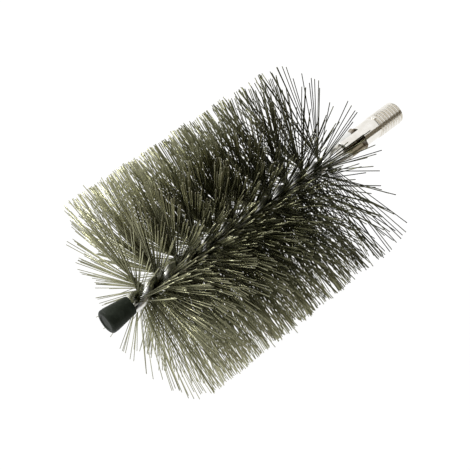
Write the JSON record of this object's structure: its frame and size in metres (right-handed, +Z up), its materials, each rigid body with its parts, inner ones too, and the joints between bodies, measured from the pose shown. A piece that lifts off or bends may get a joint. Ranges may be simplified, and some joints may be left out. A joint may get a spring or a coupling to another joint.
{
  "type": "spiral boiler brush",
  "caption": "Twisted-wire boiler brush with a round spiral of stiff steel bristles, a black end cap and a threaded screw-in stud.",
  "frame": {"origin": "on the brush's axis, where the screw thread meets the plain shank", "axes": "+X along the axis towards the thread's free end, +Z up as the brush lies on its side"},
  "size_m": [0.2027, 0.1142, 0.1136],
  "materials": {
    "plated_stud": "bright zinc plated",
    "galvanised_wire": "galvanised drawn wire",
    "weld": "as welded",
    "black_rubber": "moulded, satin",
    "tempered_bristle": "oil-tempered drawn wire"
  },
  "bodies": {
    "root": {"threaded_stud": "plated_stud", "stem_wire_a": "galvanised_wire", "stem_wire_b": "galvanised_wire", "weld_bead_a": "weld", "weld_bead_b": "weld", "tip_cap": "black_rubber", "bristle_turn_01": "tempered_bristle", "bristle_turn_02": "tempered_bristle", "bristle_turn_03": "tempered_bristle", "bristle_turn_04": "tempered_bristle", "bristle_turn_05": "tempered_bristle", "bristle_turn_06": "tempered_bristle", "bristle_turn_07": "tempered_bristle", "bristle_turn_08": "tempered_bristle", "bristle_turn_09": "tempered_bristle", "bristle_turn_10": "tempered_bristle"}
  },
  "joints": []
}
